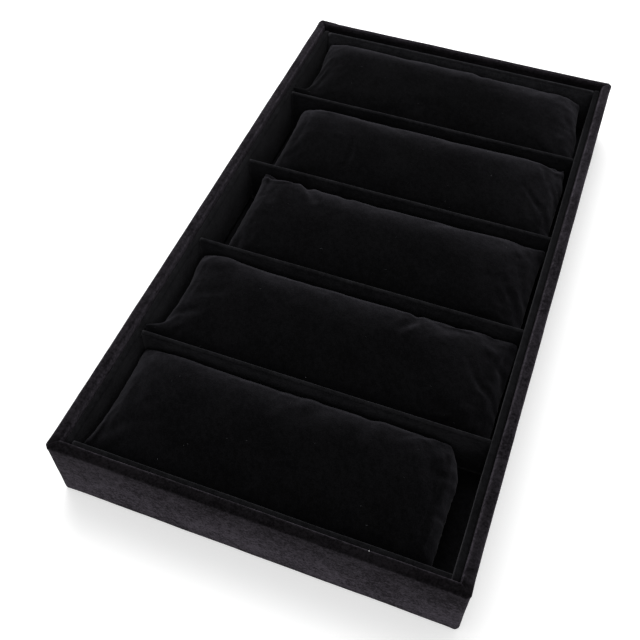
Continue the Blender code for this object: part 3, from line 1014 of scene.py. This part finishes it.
def seen_directly(nodes):
    """One where a ray comes from the camera or a gloss, and nothing where it only lights."""
    path = nodes.add("ShaderNodeLightPath")
    seen = nodes.add("ShaderNodeMath", {0: path.outputs["Is Camera Ray"],
                                        1: path.outputs["Is Glossy Ray"]}, operation="MAXIMUM")
    return seen.outputs[0]


def show_ground():
    """A pale floor that reads as white, and keeps the tray's soft shadow."""
    bpy.ops.mesh.primitive_plane_add(size=GROUND_SIZE, location=(0.0, 0.0, 0.0))
    ground = bpy.context.object
    ground.name = "ground"
    material, nodes, shader = new_material("pale_floor")
    shown = nodes.add("ShaderNodeMath", {0: seen_directly(nodes), 1: GROUND_GLOW},
                      operation="MULTIPLY")
    nodes.tree.links.new(shown.outputs[0], shader.inputs["Emission Strength"])
    set_sockets(shader, {"Base Color": grey(GROUND_TONE), "Roughness": 0.9,
                         "Emission Color": grey(1.0)})
    ground.data.materials.append(material)


def show_world():
    """White where the camera sees it, softer as light."""
    world = bpy.data.worlds.new("studio")
    bpy.context.scene.world = world
    world.use_nodes = True
    nodes = NodeTree(world.node_tree)
    background = world.node_tree.nodes["Background"]
    strength = nodes.add("ShaderNodeMapRange", {"Value": seen_directly(nodes),
                                                "To Min": AMBIENT, "To Max": BACKDROP})
    background.inputs["Color"].default_value = grey(1.0)
    world.node_tree.links.new(strength.outputs["Result"], background.inputs["Strength"])


def soft_light(name, place, size, power):
    """A square lamp aimed at the tray's middle."""
    lamp = bpy.data.lights.new(name, "AREA")
    lamp.shape = "SQUARE"
    lamp.size = size
    lamp.energy = power
    item = bpy.data.objects.new(name, lamp)
    bpy.context.scene.collection.objects.link(item)
    item.location = place
    item.rotation_euler = (-Vector(place)).to_track_quat("-Z", "Y").to_euler()


def show_camera():
    lens = bpy.data.cameras.new("camera")
    lens.lens = CAMERA_LENS
    lens.sensor_width = CAMERA_FILM
    lens.clip_start = CAMERA_NEAREST
    item = bpy.data.objects.new("camera", lens)
    bpy.context.scene.collection.objects.link(item)
    item.location = CAMERA_PLACE
    aim = Vector(CAMERA_AIM) - Vector(CAMERA_PLACE)
    item.rotation_euler = aim.to_track_quat("-Z", "Y").to_euler()
    bpy.context.scene.camera = item


# Tints of the blacks and of their painted sheens.
BLUE_BLACK = (0.98, 0.97, 1.08)
VIOLET_BLACK = (0.99, 0.95, 1.12)
PLUM_BLACK = (1.05, 0.93, 1.08)
WARM_PLUM = (1.04, 0.92, 1.12)
# The velvets: the pile seen end on, the painted sheen seen obliquely, and the grain in marks per
# metre.
VELVETS = {
    "outer_velvet": {
        "dark": grey(0.0022, PLUM_BLACK), "light": grey(0.0068, PLUM_BLACK),
        "painted_sheen": grey(0.066, WARM_PLUM), "painted_sheen_power": 2.6, "sheen_speckle": 0.80,
        "sheen_tint": (1.0, 0.92, 1.0, 1.0), "grain": 950.0, "turn": (0.0, 0.3, 0.1)},
    # The lining's pile tones are set lighter than the pillows', partly to lift the shade inside the
    # cells: painted light.
    "lining_velvet": {
        "dark": grey(0.0033, BLUE_BLACK), "light": grey(0.0078, BLUE_BLACK),
        "painted_sheen": grey(0.056, BLUE_BLACK), "painted_sheen_power": 2.5, "sheen_speckle": 0.60,
        "sheen_tint": (0.97, 0.95, 1.0, 1.0), "grain": 1500.0, "turn": (0.0, 0.0, 0.4)},
    "pillow_velvet": {
        "dark": grey(0.0011, BLUE_BLACK), "light": grey(0.0027, BLUE_BLACK),
        "painted_sheen": grey(0.052, VIOLET_BLACK), "painted_sheen_power": 1.7, "sheen_speckle": 0.40,
        "sheen_tint": (0.95, 0.94, 1.0, 1.0), "grain": 1500.0, "turn": (0.2, 0.0, 0.9)},
}
outer_velvet, lining_velvet, pillow_velvet = [velvet(name, **look)
                                              for name, look in VELVETS.items()]
black_felt = felt("black_felt")
fibreboard = pressed_board("fibreboard", grey(0.2, (1.2, 0.85, 0.55)),
                           grey(0.36, (1.15, 0.9, 0.62)), 700.0)
grey_card = pressed_board("grey_card", grey(0.24), grey(0.38, (1.0, 0.98, 0.93)), 1100.0)

sewing_thread = plain_fibre("sewing_thread", grey(0.010), 0.45)
dusty_lint = plain_fibre("dusty_lint", grey(0.085, (0.95, 0.97, 1.05)), 0.8)
pale_lint = plain_fibre("pale_lint", grey(0.75), 0.8)

show_camera()
show_ground()
show_world()
for name, lamp in LAMPS.items():
    soft_light(name, **lamp)

cover = outer_cover(outer_velvet)
folding = strip_tree()
for seed, side in enumerate(("left", "right", "front", "rear"), start=1):
    folded_strip(side + "_lining_velvet", LINING_FOLD, folding, lining_velvet, float(seed),
                 LINING_WAVER, REAR_LINING_LEAN if side == "rear" else 0.0)
for number in range(1, 5):
    folded_strip(f"divider_{number}_velvet", DIVIDER_FOLD, folding, lining_velvet,
                 number + 10.0, DIVIDER_WAVER)
floor_cloth(lining_velvet)
pillows = {number: pillow(number, pillow_velvet) for number in range(1, 6)}
placing = placing_tree()
seam_stitches(pillows, placing, sewing_thread)
lint([*pillows.values(), cover], placing, dusty_lint, pale_lint)

# The solids that keep their own shape: boards, cards and the underside's felt.
bare_finishes = {"board": fibreboard, "card": grey_card, "lining": black_felt}
for node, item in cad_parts.items():
    finish = bare_finishes.get(node.split("_")[-1])
    if finish:
        item.data.materials.clear()
        item.data.materials.append(finish)

bpy.context.scene.view_settings.view_transform = "Standard"
